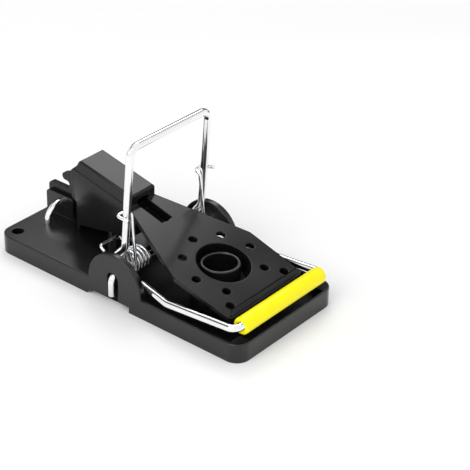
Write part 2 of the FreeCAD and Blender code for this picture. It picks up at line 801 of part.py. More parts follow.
def make_staple(doc, s, name, x, span, rise, foot, bend):
    """A straight rod across the trap with both ends bent down."""
    body = doc.addObject("PartDesign::Body", name)
    y, b = span / 2, bend
    spine = new_sketch(body, name + "_spine", "YZ_Plane")
    chain(spine, [
        (-y, foot), (-y, rise - b, -b), (b - y, rise), (y - b, rise, -b), (y, rise - b), (y, foot),
    ], closed=False)
    section = new_sketch(body, name + "_section", "XY_Plane", foot)
    ring(section, 0, -y, s.rod)
    pipe(body, name + "_sweep", section, spine)
    place(body, x, 0, 0)
    return body


def rounded_path(points, bends):
    """Straight runs joined by tangent arcs; one radius for each inner point."""
    edges = []
    start = points[0]
    for corner, after, bend in zip(points[1:-1], points[2:], bends):
        before = (start - corner).normalize()
        onward = (after - corner).normalize()
        half = math.acos(max(-1.0, min(1.0, before.dot(onward)))) / 2
        reach = bend / math.tan(half)
        first = corner + before * reach
        last = corner + onward * reach
        inward = (before + onward).normalize()
        middle = corner + inward * (bend / math.sin(half) - bend)
        edges.append(Part.LineSegment(start, first).toShape())
        edges.append(Part.Arc(first, middle, last).toShape())
        start = last
    edges.append(Part.LineSegment(start, points[-1]).toShape())
    return edges


def biarc(start, start_way, end, end_way):
    """Two arcs that leave and arrive along the given directions."""
    span = end - start
    k = 2 * (1 - start_way.dot(end_way))
    b = span.dot(start_way + end_way)
    a = span.dot(span)
    reach = a / (2 * b) if k < 1e-9 else (math.sqrt(b * b + k * a) - b) / k
    first = start + start_way * reach
    last = end - end_way * reach
    joint = (first + last) / 2
    edges = []
    for here, knee, there in ((start, first, joint), (joint, last, end)):
        weight = (there - here).Length / (2 * reach)
        if weight > 0.9999999:
            edges.append(Part.LineSegment(here, there).toShape())
            continue
        middle = (here + knee * (2 * weight) + there) / (2 + 2 * weight)
        edges.append(Part.Arc(here, middle, there).toShape())
    return edges


def swept(edges, dia):
    """A round wire along a path."""
    wire = Part.Wire(edges)
    first = edges[0]
    start = first.valueAt(first.FirstParameter)
    way = first.tangentAt(first.FirstParameter)
    circle = Part.Wire(Part.Circle(start, way, dia / 2).toShape())
    return wire.makePipeShell([circle], True, False)


def add_computed(doc, name, shape):
    """Adds a piece whose shape is worked out here."""
    item = doc.addObject("Part::Feature", name)
    item.Shape = shape
    item.Placement = FreeCAD.Placement()
    return item


def striker_half(s):
    """The striker's bends on the far side, from the front joint to the middle of the loop's top."""
    wrap = s.rod / 2 + s.wire / 2 + s.wrap_gap
    inner, outer = s.arm_inner, s.arm_outer
    back = s.axle_x - wrap
    top_x = s.axle_x + s.loop_radius * s.loop_lean.sine()
    top_z = s.axle_rise + s.loop_radius * s.loop_lean.cosine()
    low = s.axle_rise - wrap
    shin_y = s.loop_half + s.shin_flare
    return [
        (s.bar_x, s.butt_gap / 2, s.bar_rise, None),
        (s.bar_x, outer, s.bar_rise, s.wire_bend),
        (s.splay_end, outer, s.arm_rise, s.splay_bend),
        (s.splay_start, inner, s.arm_rise, s.splay_bend),
        (s.axle_x + wrap, inner, low, s.splay_bend),
        (back, inner, low, wrap - s.wrap_gap),
        (back - s.wrap_gap, inner, s.axle_rise + s.knee_rise, s.knee_bend),
        (s.axle_x + s.play, shin_y, s.axle_rise + s.shin_rise, s.shin_bend),
        (top_x, s.loop_half, top_z, s.loop_corner),
    ]


def make_striker(doc, s):
    """The closed striker wire; its butt joint is hidden inside the grip sleeve."""
    half = striker_half(s)
    points = [vec(x, y, z) for x, y, z, _ in half]
    points += [vec(x, -y, z) for x, y, z, _ in half[::-1]]
    bends = [bend.number for _, _, _, bend in half[1:]]
    bends = bends + bends[::-1]
    return add_computed(doc, "striker_frame", swept(rounded_path(points, bends), s.wire.number))


def coil_point(s, angle, across):
    """A point on the coil and the wire's direction there, for a falling angle."""
    r = s.coil_radius.number
    drift = -s.coil_pitch.number / (2 * math.pi)
    spot = vec(s.coil_x.number + r * math.cos(angle), across, s.coil_rise.number + r * math.sin(angle))
    way = FreeCAD.Vector(r * math.sin(angle), drift, -r * math.cos(angle))
    return spot, way.normalize()


def tangent_angle(s, x, z, side):
    """The angle on the coil at which a tangent leaves for a point."""
    across, up = x - s.coil_x.number, z - s.coil_rise.number
    swing = math.acos(s.coil_radius.number / math.hypot(across, up))
    return math.atan2(up, across) + side * swing


def spring_edges(s):
    """The far spring's path: hook, leg, coil, rear arm and its turned-down end."""
    leg_z = (s.axle_rise + s.hook_rise).number
    lean = s.loop_lean.sine() / s.loop_lean.cosine()
    stem_x = (s.axle_x + s.hook_rise * lean).number
    share = (s.hook_rise - s.shin_rise) / (s.loop_radius - s.shin_rise)
    stem_y = (s.loop_half + s.shin_flare * (Size.wrap(1) - share)).number
    reach = ((s.wire + s.spring_wire) / 2 + s.play).number
    inside, outside = stem_y - reach, stem_y + reach
    behind = stem_x - reach
    top = FreeCAD.Vector(stem_x + s.play.number, inside, leg_z)
    first = tangent_angle(s, top.x, top.z, -1)
    corner_x, corner_z = (s.axle_x - s.arm_reach).number, s.arm_seat_rise.number
    last = tangent_angle(s, corner_x, corner_z, 1) - 2 * math.pi
    turn = first - last + 2 * math.pi * s.coil_turns.number
    drop = s.coil_pitch.number / (2 * math.pi)

    begin, begin_way = coil_point(s, first, s.coil_outer.number)
    leg = (begin - top).normalize()
    link = s.coil_radius.number * 0.7
    leg_end = begin - leg * link
    tail = FreeCAD.Vector(stem_x + s.hook_tail.number, outside, leg_z)
    points = [
        tail,
        FreeCAD.Vector(behind - s.play.number * 2, outside, leg_z + s.play.number),
        FreeCAD.Vector(behind, inside, leg_z + s.play.number * 2),
        top + leg * -s.play.number,
        leg_end,
    ]
    bend = s.spring_wire.number * 1.15
    edges = rounded_path(points, [bend, bend * 1.1, bend])
    edges += biarc(leg_end, leg, begin, begin_way)
    steps = int(math.ceil(turn / (math.pi / 2)))
    spot, way = begin, begin_way
    for step in range(1, steps + 1):
        passed = turn * step / steps
        nxt, nxt_way = coil_point(s, first - passed, s.coil_outer.number - drop * passed)
        edges += biarc(spot, way, nxt, nxt_way)
        spot, way = nxt, nxt_way
    beside_post = s.post_inner - s.spring_wire / 2 - (s.play + s.fit) * 2
    corner = FreeCAD.Vector(corner_x, beside_post.number, corner_z)
    arm = (corner - spot).normalize()
    arm_start = spot + arm * link
    edges += biarc(spot, way, arm_start, arm)
    turned = FreeCAD.Vector(corner_x, s.arm_end.number, corner_z)
    tail = s.arm_tail.number
    end = turned + FreeCAD.Vector(tail, 0, -tail * 0.6)
    edges += rounded_path([arm_start, corner, turned, end], [s.spring_wire.number, s.spring_wire.number * 1.1])
    return edges


def least_gap(edges, dia, skip):
    """The wire's least distance to itself, measured on points along its path."""
    spots, travel, total = [], [], 0.0
    for edge in edges:
        count = max(2, int(edge.Length / 0.3))
        for spot in edge.discretize(count + 1)[:-1]:
            if spots:
                total += (spot - spots[-1]).Length
            spots.append(spot)
            travel.append(total)
    least = 1e9
    for i, spot in enumerate(spots):
        for j in range(i + 1, len(spots)):
            if travel[j] - travel[i] > skip:
                least = min(least, (spots[j] - spot).Length)
    return least - dia


def make_springs(doc, s):
    """The pair of torsion springs, mirrored about the middle."""
    edges = spring_edges(s)
    dia = s.spring_wire.number
    gap = least_gap(edges, dia, math.pi * s.coil_radius.number)
    print("spring: least gap to itself {:.2f} mm".format(gap))
    shape = swept(edges, dia)
    far = add_computed(doc, "spring_far", shape)
    near = add_computed(doc, "spring_near", shape.mirror(FreeCAD.Vector(), FreeCAD.Vector(0, 1, 0)))
    return [near, far]


def main():
    """Builds every piece and writes each to its own file."""
    doc = FreeCAD.newDocument("trap")
    s = Sizes(doc)
    pieces = [
        make_base(doc, s),
        make_treadle(doc, s),
        make_cup(doc, s),
        make_staple(doc, s, "axle_rod", s.axle_x, s.base_width + s.axle_leg_proud * 2,
                    s.axle_rise, s.axle_foot_rise, s.rod_bend),
        make_striker(doc, s),
        make_sleeve(doc, s),
        make_staple(doc, s, "treadle_pin", s.pin_x, s.pin_span, s.pin_rise, s.pin_sunk, s.pin_bend),
    ]
    pieces += make_springs(doc, s)
    doc.recompute()
    for item in doc.Objects:
        if "Invalid" in item.State or "Error" in item.State:
            raise ValueError("{} failed: {}".format(item.Name, item.State))
    for piece in pieces:
        if piece.Shape.isNull() or not piece.Shape.isValid():
            raise ValueError("{} has no sound shape".format(piece.Label))
    os.makedirs("parts", exist_ok=True)
    for piece in pieces:
        shape = piece.Shape
        print("{}: {} solid, {:.1f} mm3".format(piece.Label, len(shape.Solids), shape.Volume))
        shape.exportStep("parts/{}.step".format(piece.Label))


main()
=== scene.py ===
import logging
import math
from dataclasses import dataclass
from enum import Enum
from typing import Dict, List, Optional, Sequence, Tuple

import bpy
from mathutils import Matrix, Vector


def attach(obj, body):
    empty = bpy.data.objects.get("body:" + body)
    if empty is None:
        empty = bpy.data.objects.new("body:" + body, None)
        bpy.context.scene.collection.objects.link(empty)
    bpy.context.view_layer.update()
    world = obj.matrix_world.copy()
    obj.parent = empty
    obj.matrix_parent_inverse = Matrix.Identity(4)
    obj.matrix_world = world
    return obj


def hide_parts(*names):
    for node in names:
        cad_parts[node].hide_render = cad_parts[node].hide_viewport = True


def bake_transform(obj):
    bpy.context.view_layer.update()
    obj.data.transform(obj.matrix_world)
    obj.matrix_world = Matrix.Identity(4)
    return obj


# A snap mouse trap at rest, sprung and closed, on a pale table. Blender's lengths are in metres.
# The sizes in the classes of the pieces are in millimetres and degrees.

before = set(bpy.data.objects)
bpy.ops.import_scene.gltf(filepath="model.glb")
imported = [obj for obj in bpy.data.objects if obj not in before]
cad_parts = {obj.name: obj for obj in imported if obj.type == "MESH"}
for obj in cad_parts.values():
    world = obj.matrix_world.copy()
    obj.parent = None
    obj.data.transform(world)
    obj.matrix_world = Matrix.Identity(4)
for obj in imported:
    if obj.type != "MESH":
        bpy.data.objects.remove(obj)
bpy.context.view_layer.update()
LOG = logging.getLogger("snap_trap")
MM = 0.001

# Edges that turn by more than this many degrees stay sharp, or are bevelled.
SMOOTH_DEGREES = 45.0
SHARP_DEGREES = 60.0
DOUBLES_REACH = 1e-6

# A noise pattern's usual range, a Mix node's colour sockets and the samples of a rounded edge.
NOISE_LOW, NOISE_HIGH = 0.3, 0.7
MIX_FACTOR, MIX_DARK, MIX_LIGHT, MIX_RESULT = 0, 6, 7, 2
EDGE_SAMPLES = 8

# The tray's inner faces lie in these boxes, in millimetres; they get a darker, duller finish than the
# outside of the base, which paints in the shade of the recess.
TRAY_SHADE_BOXES = (
    ((-8.4, -21.4, 0.5), (47.2, 21.4, 6.15)),
    ((-8.4, -16.0, 0.5), (47.2, 16.0, 18.0)),
)


def mm(x: float, y: float, z: float) -> Vector:
    """Returns a point given in millimetres."""
    return Vector((x, y, z)) * MM


class Bench:
    """Small helpers round Blender's operators."""

    @staticmethod
    def clear_selection() -> None:
        """Leaves nothing selected or active."""
        if bpy.context.object is not None and bpy.context.object.mode != "OBJECT":
            bpy.ops.object.mode_set(mode="OBJECT")
        bpy.ops.object.select_all(action="DESELECT")

    @staticmethod
    def pick(piece: bpy.types.Object) -> None:
        """Makes one piece the only selected one.

        Args:
            piece: The piece that the next operators act on.
        """
        Bench.clear_selection()
        piece.select_set(True)
        bpy.context.view_layer.objects.active = piece

    @staticmethod
    def edit(piece: bpy.types.Object) -> None:
        """Opens a piece in edit mode with all its faces selected.

        Args:
            piece: The piece to open.
        """
        Bench.pick(piece)
        bpy.ops.object.mode_set(mode="EDIT")
        bpy.ops.mesh.select_mode(type="FACE")
        bpy.ops.mesh.select_all(action="SELECT")

    @staticmethod
    def leave() -> None:
        """Closes edit mode."""
        bpy.ops.object.mode_set(mode="OBJECT")

    @staticmethod
    def settle(piece: bpy.types.Object) -> None:
        """Applies a piece's placement, so that it sits at the origin.

        Args:
            piece: The piece to settle.
        """
        Bench.pick(piece)
        bpy.ops.object.transform_apply(location=True, rotation=True, scale=True)

    @staticmethod
    def smooth(piece: bpy.types.Object, degrees: float) -> None:
        """Shades a piece smooth except at its sharp edges.

        Args:
            piece: The piece to shade.
            degrees: Edges that turn more than this stay sharp.
        """
        Bench.pick(piece)
        bpy.ops.object.shade_smooth_by_angle(angle=math.radians(degrees))

    @staticmethod
    def outward(piece: bpy.types.Object) -> None:
        """Merges doubles and turns all faces outwards.

        Args:
            piece: A closed piece.
        """
        Bench.edit(piece)
        bpy.ops.mesh.remove_doubles(threshold=DOUBLES_REACH)
        bpy.ops.mesh.normals_make_consistent(inside=False)
        Bench.leave()

    @staticmethod
    def bevel(piece: bpy.types.Object, width: float, segments: int) -> None:
        """Breaks a piece's sharp edges.

        Args:
            piece: The piece to bevel.
            width: The bevel's width in metres.
            segments: How many facets it has.
        """
        edge = piece.modifiers.new("edge", "BEVEL")
        edge.width = width
        edge.segments = segments
        edge.limit_method = "ANGLE"
        edge.angle_limit = math.radians(SHARP_DEGREES)
        Bench.pick(piece)
        bpy.ops.object.modifier_apply(modifier="edge")


# finishes


class Palette:
    """Builds a material's node tree step by step."""

    def __init__(self, name: str) -> None:
        """Starts an empty material with a shader and an object coordinate.

        Args:
            name: The material's name.
        """
        self.material = bpy.data.materials.new(name)
        self.material.use_nodes = True
        self.tree = self.material.node_tree
        self.shader = self.tree.nodes["Principled BSDF"]
        self.place = self.tree.nodes.new("ShaderNodeTexCoord").outputs["Object"]

    def join(self, source: bpy.types.NodeSocket, target: bpy.types.NodeSocket) -> None:
        """Links two sockets."""
        self.tree.links.new(source, target)

    def noise(self, scale: float, detail: float) -> bpy.types.NodeSocket:
        """Adds a noise pattern in object space.

        Args:
            scale: Repeats per metre.
            detail: How many finer layers it has.

        Returns:
            The pattern's value, about NOISE_LOW to NOISE_HIGH.
        """
        node = self.tree.nodes.new("ShaderNodeTexNoise")
        node.inputs["Scale"].default_value = scale
        node.inputs["Detail"].default_value = detail
        self.join(self.place, node.inputs["Vector"])
        return node.outputs["Fac"]

    def span(self, value: bpy.types.NodeSocket, low: float, high: float) -> bpy.types.NodeSocket:
        """Maps a noise pattern onto a range.

        Args:
            value: The pattern.
            low: The result where the pattern is low.
            high: The result where it is high.

        Returns:
            The mapped value.
        """
        node = self.tree.nodes.new("ShaderNodeMapRange")
        ends = {"From Min": NOISE_LOW, "From Max": NOISE_HIGH, "To Min": low, "To Max": high}
        for key, number in ends.items():
            node.inputs[key].default_value = number
        self.join(value, node.inputs["Value"])
        return node.outputs["Result"]

    def tint(self, value: bpy.types.NodeSocket, dark: Sequence[float],
             light: Sequence[float]) -> bpy.types.NodeSocket:
        """Mixes two colours by a value.

        Args:
            value: 0 gives dark and 1 gives light.
            dark: The first colour.
            light: The second colour.

        Returns:
            The mixed colour.
        """
        node = self.tree.nodes.new("ShaderNodeMix")
        node.data_type = "RGBA"
        node.inputs[MIX_DARK].default_value = (*dark, 1.0)
        node.inputs[MIX_LIGHT].default_value = (*light, 1.0)
        self.join(value, node.inputs[MIX_FACTOR])
        return node.outputs[MIX_RESULT]

    def dents(self, height: bpy.types.NodeSocket, depth: float, strength: float,
              under: Optional[bpy.types.NodeSocket] = None) -> bpy.types.NodeSocket:
        """Adds a bump from a height pattern.

        Args:
            height: The pattern.
            depth: Its depth in metres.
            strength: How much of it shows, up to 1.
            under: A bump that this one lies on.

        Returns:
            The bumped normal.
        """
        node = self.tree.nodes.new("ShaderNodeBump")
        node.inputs["Strength"].default_value = strength
        node.inputs["Distance"].default_value = depth
        self.join(height, node.inputs["Height"])
        if under is not None:
            self.join(under, node.inputs["Normal"])
        return node.outputs["Normal"]

    def rounded(self, radius: float) -> bpy.types.NodeSocket:
        """Rounds the normals near sharp edges, as a mould's worn corners do.

        Args:
            radius: The edges' radius in metres.

        Returns:
            The rounded normal.
        """
        node = self.tree.nodes.new("ShaderNodeBevel")
        node.samples = EDGE_SAMPLES
        node.inputs["Radius"].default_value = radius
        return node.outputs["Normal"]

    def fix(self, **values: float) -> None:
        """Sets the shader's own sockets.

        Args:
            **values: Socket names, with an underscore for a space, and their values.
        """
        for key, number in values.items():
            self.shader.inputs[key.replace("_", " ")].default_value = number


@dataclass(frozen=True)
class MouldedPlastic:
    """Black plastic with a fine spark-eroded grain, faintly rubbed in patches."""

    name: str
    shade: float = 0.004
    shade_blue: float = 1.04
    rubbed: float = 0.008
    rubbed_blue: float = 1.03
    rough_low: float = 0.2
    rough_high: float = 0.28
    gloss: float = 0.5
    patches_per_metre: float = 55.0
    edge_radius: float = 0.0004
    swell_per_metre: float = 140.0
    swell_depth: float = 0.00008
    swell_strength: float = 0.1
    grain_per_metre: float = 2600.0
    grain_depth: float = 0.000012
    grain_strength: float = 0.3

    def material(self) -> bpy.types.Material:
        """Makes the finish.

        Returns:
            The dressed material.
        """
        mix = Palette(self.name)
        patches = mix.noise(self.patches_per_metre, detail=3.0)
        grain = mix.noise(self.grain_per_metre, detail=1.5)
        dark = (self.shade, self.shade, self.shade * self.shade_blue)
        light = (self.rubbed, self.rubbed, self.rubbed * self.rubbed_blue)
        mix.join(mix.tint(mix.span(patches, 0.0, 1.0), dark, light), mix.shader.inputs["Base Color"])
        mix.join(mix.span(patches, self.rough_low, self.rough_high), mix.shader.inputs["Roughness"])
        swell = mix.noise(self.swell_per_metre, detail=1.0)
        edges = mix.rounded(self.edge_radius)
        swollen = mix.dents(swell, self.swell_depth, self.swell_strength, edges)
        grained = mix.dents(grain, self.grain_depth, self.grain_strength, swollen)
        mix.join(grained, mix.shader.inputs["Normal"])
        mix.fix(IOR=1.5, Specular_IOR_Level=self.gloss)
        return mix.material


@dataclass(frozen=True)
class PlatedWire:
    """Bright plated steel wire with faint drawing marks."""

    name: str
    rough_low: float = 0.06
    rough_high: float = 0.12
    dull: Tuple[float, float, float] = (0.87, 0.88, 0.9)
    bright: Tuple[float, float, float] = (0.95, 0.955, 0.96)
    clouds_per_metre: float = 180.0
    marks_per_metre: float = 420.0

    def material(self) -> bpy.types.Material:
        """Makes the finish.

        Returns:
            The dressed material.
        """
        mix = Palette(self.name)
        clouds = mix.noise(self.clouds_per_metre, detail=3.0)
        marks = mix.noise(self.marks_per_metre, detail=2.0)
        colour = mix.tint(mix.span(clouds, 0.0, 1.0), self.dull, self.bright)
        mix.join(colour, mix.shader.inputs["Base Color"])
        mix.join(mix.span(marks, self.rough_low, self.rough_high), mix.shader.inputs["Roughness"])
        mix.fix(Metallic=1.0)
        return mix.material


@dataclass(frozen=True)
class SleeveVinyl:
    """Soft yellow tube with a faint skin and slightly paler high spots."""

    name: str
    deep: Tuple[float, float, float] = (0.93, 0.83, 0.001)
    pale: Tuple[float, float, float] = (0.97, 0.89, 0.002)
    rough_low: float = 0.34
    rough_high: float = 0.44
    clouds_per_metre: float = 120.0
    skin_per_metre: float = 1500.0
    skin_depth: float = 0.00001
    skin_strength: float = 0.2

    def material(self) -> bpy.types.Material:
        """Makes the finish.

        Returns:
            The dressed material.
        """
        mix = Palette(self.name)
        clouds = mix.noise(self.clouds_per_metre, detail=3.0)
        skin = mix.noise(self.skin_per_metre, detail=1.0)
        colour = mix.tint(mix.span(clouds, 0.0, 1.0), self.deep, self.pale)
        mix.join(colour, mix.shader.inputs["Base Color"])
        mix.join(mix.span(clouds, self.rough_low, self.rough_high), mix.shader.inputs["Roughness"])
        mix.join(mix.dents(skin, self.skin_depth, self.skin_strength), mix.shader.inputs["Normal"])
        mix.fix(IOR=1.45, Specular_IOR_Level=0.3)
        return mix.material


class Finish(Enum):
    """The trap's finishes, each made once."""

    SHELL = MouldedPlastic("black_moulding")
    ROCKER = MouldedPlastic(
        "black_treadle", shade=0.005, rubbed=0.009, rough_low=0.16, rough_high=0.23, gloss=0.3
    )
    CUP = MouldedPlastic("black_cup")
    # Darker and duller than the shell: painted shade for the inside of the tray and for the vent pocket.
    TRAY_SHADE = MouldedPlastic(
        "matt_tray_painted_shade", shade=0.002, rubbed=0.004, rough_low=0.45, rough_high=0.6, gloss=0.12
    )
    WIRE = PlatedWire("plated_wire")
    SPRING = PlatedWire("spring_wire", rough_low=0.09, rough_high=0.16)
    SLEEVE = SleeveVinyl("yellow_sleeve")


class Dresser:
    """Makes each finish once and puts it on pieces."""

    def __init__(self) -> None:
        """Starts with no material made."""
        self.made: Dict[Finish, bpy.types.Material] = {}

    def material(self, finish: Finish) -> bpy.types.Material:
        """Gets a finish's material, and makes it the first time.

        Args:
            finish: The finish.

        Returns:
            Its material.
        """
        if finish not in self.made:
            self.made[finish] = finish.value.material()
        return self.made[finish]

    def dress(self, piece: bpy.types.Object, finish: Finish) -> None:
        """Gives a piece one finish all over.

        Args:
            piece: The piece to dress.
            finish: Its finish.
        """
        piece.data.materials.clear()
        piece.data.materials.append(self.material(finish))

    def line(self, piece: bpy.types.Object, finish: Finish, boxes: Sequence[Tuple[Vector, Vector]]) -> None:
        """Gives the faces inside some boxes a second finish.

        Args:
            piece: A dressed piece.
            finish: The second finish.
            boxes: The lowest and highest corner of each box.
        """
        second = len(piece.data.materials)
        piece.data.materials.append(self.material(finish))
        for face in piece.data.polygons:
            for low, high in boxes:
                if all(a <= c <= b for a, c, b in zip(low, face.center, high)):
                    face.material_index = second


# pieces


@dataclass
class Vent:
    """The square-ended slot that runs under the hump's front wall, and the blind pocket below it, an
    invented dark piece that hides the axle and paints the slot in shade.
    """

    crown: float = 20.7
    tilt: float = 14.95
    root: float = -9.6
    end: float = 1.75
    half: float = 2.3
    cut_below: float = 3.0
    cut_above: float = 1.0
    wall: float = 0.7
    depth: float = 3.2
    under: float = 1.3
    mouth_x: float = -8.8
    mouth_back: float = 1.0
    mouth_ahead: float = 1.2
    mouth_rise: float = 24.4
    sill_drop: float = 0.6
    upward: float = 0.9

    def block(self, name: str, low: Vector, high: Vector, tilted: bool) -> bpy.types.Object:
        """Makes a block between two corners.

        Args:
            name: The block's name.
            low: The lowest corner in millimetres, seen from the plate's crown if it is tilted.
            high: The highest corner.
            tilted: Whether it lies along the sloping plate.

        Returns:
            The block.
        """
        Bench.clear_selection()
        bpy.ops.mesh.primitive_cube_add(size=1.0, location=(low + high) / 2 * MM)
        block = bpy.context.object
        block.name = name
        block.scale = (high - low) * MM
        Bench.settle(block)
        if tilted:
            block.rotation_euler = (0, math.radians(self.tilt), 0)
            block.location = (0, 0, self.crown * MM)
            Bench.settle(block)
        return block

    def widen(self, plate: bpy.types.Object) -> None:
        """Cuts the slot and its mouth out of the merged treadle.

        Args:
            plate: The treadle's copy.
        """
        slot = self.block("slot_cutter", Vector((self.root, -self.half, -self.cut_below)),
                          Vector((self.end, self.half, self.cut_above)), True)
        sill = self.crown - self.mouth_x * math.tan(math.radians(self.tilt)) - self.sill_drop
        mouth = self.block("mouth_cutter", Vector((self.mouth_x - self.mouth_back, -self.half, sill)),
                           Vector((self.mouth_x + self.mouth_ahead, self.half, self.mouth_rise)), False)
        for cutter in (slot, mouth):
            bite = plate.modifiers.new("bite", "BOOLEAN")
            bite.operation = "DIFFERENCE"
            bite.solver = "EXACT"
            bite.object = cutter
            Bench.pick(plate)
            bpy.ops.object.modifier_apply(modifier="bite")
            bpy.data.objects.remove(cutter)

    def build(self, dresser: Dresser) -> bpy.types.Object:
        """Makes the pocket that closes the slot from below, a dark piece that stands for the slot's shade.

        Args:
            dresser: Puts the finish on.

        Returns:
            The pocket.
        """
        reach = self.half + self.wall
        pocket = self.block("vent_pocket", Vector((self.root, -reach, -self.depth - self.wall)),
                            Vector((self.end + self.wall, reach, -self.under)), True)
        up = Vector((math.sin(math.radians(self.tilt)), 0, math.cos(math.radians(self.tilt))))
        for face in pocket.data.polygons:
            face.select = face.normal.dot(up) > self.upward
        bpy.ops.object.mode_set(mode="EDIT")
        bpy.ops.mesh.inset(thickness=self.wall * MM)
        sink = up * (self.under - self.depth) * MM
        bpy.ops.mesh.extrude_region_move(TRANSFORM_OT_translate={"value": sink})
        Bench.leave()
        # The pocket's darker tray finish is painted shade.
        dresser.dress(pocket, Finish.TRAY_SHADE)
        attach(pocket, "treadle")
        return pocket


@dataclass
class Moulding:
    """A moulded shell: the solid's own form, merged and shaded smooth."""

    node: str
    body: str
    finish: Finish
    vent: Optional[Vent] = None
    merge_reach: float = 2e-6
    flat_degrees: float = 0.4
    smooth_degrees: float = 40.0

    def build(self, dresser: Dresser) -> bpy.types.Object:
        """Makes the shell.

        Args:
            dresser: Puts the finish on.

        Returns:
            The piece that stands for the node.
        """
        piece = bpy.data.objects.new(self.node + "_shell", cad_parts[self.node].data.copy())
        bpy.context.scene.collection.objects.link(piece)
        Bench.edit(piece)
        bpy.ops.mesh.remove_doubles(threshold=self.merge_reach)
        Bench.leave()
        if self.vent is not None:
            self.vent.widen(piece)
        Bench.edit(piece)
        bpy.ops.mesh.dissolve_limited(angle_limit=math.radians(self.flat_degrees))
        Bench.leave()
        Bench.smooth(piece, self.smooth_degrees)
        level = piece.modifiers.new("level", "WEIGHTED_NORMAL")
        level.mode = "FACE_AREA"
        level.keep_sharp = True
        Bench.pick(piece)
        bpy.ops.object.modifier_apply(modifier="level")
        dresser.dress(piece, self.finish)
        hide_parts(self.node)
        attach(piece, self.body)
        return piece


class WireBench:
    """Bends round wire: it pushes a cut end forward and spins it round each bend."""

    shortest_run = 1e-6
    smallest_bend = 1e-4

    def __init__(self, name: str, start: Vector, way: Vector, diameter: float, sides: int) -> None:
        """Cuts the wire square.

        Args:
            name: The piece's name.
            start: The middle of the first cut end.
            way: The direction in which the wire starts.
            diameter: The wire's diameter.
            sides: How many sides the round has.
        """
        Bench.clear_selection()
        turn = way.to_track_quat("Z", "Y").to_euler()
        bpy.ops.mesh.primitive_circle_add(
            vertices=sides, radius=diameter / 2, fill_type="NGON", location=start, rotation=turn
        )
        self.piece = bpy.context.object
        self.piece.name = name
        bpy.ops.object.transform_apply(location=True, rotation=True, scale=True)
        Bench.edit(self.piece)
        self.spot = start.copy()
        self.way = way.normalized()

    def push(self, length: float) -> None:
        """Feeds a straight run.

        Args:
            length: The run's length.
        """
        if length < self.shortest_run:
            return
        step = self.way * length
        bpy.ops.mesh.extrude_region_move(TRANSFORM_OT_translate={"value": step})
        self.spot += step

    def bend(self, onward: Vector, radius: float, steps: int) -> None:
        """Bends the wire into a new direction.

        Args:
            onward: The direction after the bend.
            radius: The bend's radius at the wire's middle.
            steps: How many facets the bend has.
        """
        onward = onward.normalized()
        angle = self.way.angle(onward)
        if angle < self.smallest_bend:
            return
        axis = self.way.cross(onward).normalized()
        centre = self.spot + axis.cross(self.way) * radius
        bpy.ops.mesh.spin(steps=steps, angle=-angle, center=centre, axis=axis)
        turn = Matrix.Rotation(angle, 3, axis)
        self.spot = centre + turn @ (self.spot - centre)
        self.way = onward

    def along(self, points: Sequence[Vector], bends: Sequence[float], steps: int) -> None:
        """Follows points with a bend at each inner one.

        Args:
            points: The corners, first and last included.
            bends: A radius for each inner corner.
            steps: How many facets each bend has.
        """
        for corner, after, radius in zip(points[1:-1], points[2:], bends):
            onward = (after - corner).normalized()
            reach = radius * math.tan(self.way.angle(onward) / 2)
            self.push((corner - self.spot).length - reach)
            self.bend(onward, radius, steps)
        self.push((points[-1] - self.spot).length)

    def coil(self, centre: Vector, turn: float, drift: float, facets: int) -> None:
        """Winds the wire about a line along Y.

        Args:
            centre: A point on the coil's axis.
            turn: The whole turn in radians.
            drift: How far the wire moves along Y over it.
            facets: How many facets one round has.
        """
        count = max(1, round(abs(turn) / (2 * math.pi) * facets))
        share, slip = turn / count, Vector((0, drift / count, 0))
        for _ in range(count):
            bpy.ops.mesh.spin(steps=1, angle=-share, center=centre, axis=(0, 1, 0))
            bpy.ops.transform.translate(value=slip)
        spin = Matrix.Rotation(turn, 3, Vector((0, 1, 0)))
        self.spot = centre + spin @ (self.spot - centre) + Vector((0, drift, 0))
        self.way = (spin @ self.way).normalized()

    def cut(self, chamfer: float) -> bpy.types.Object:
        """Cuts the wire off and breaks its edges.

        Args:
            chamfer: The width of the broken edge.

        Returns:
            The finished wire.
        """
        Bench.leave()
        Bench.outward(self.piece)
        Bench.bevel(self.piece, chamfer, segments=2)
        Bench.smooth(self.piece, SMOOTH_DEGREES)
        return self.piece


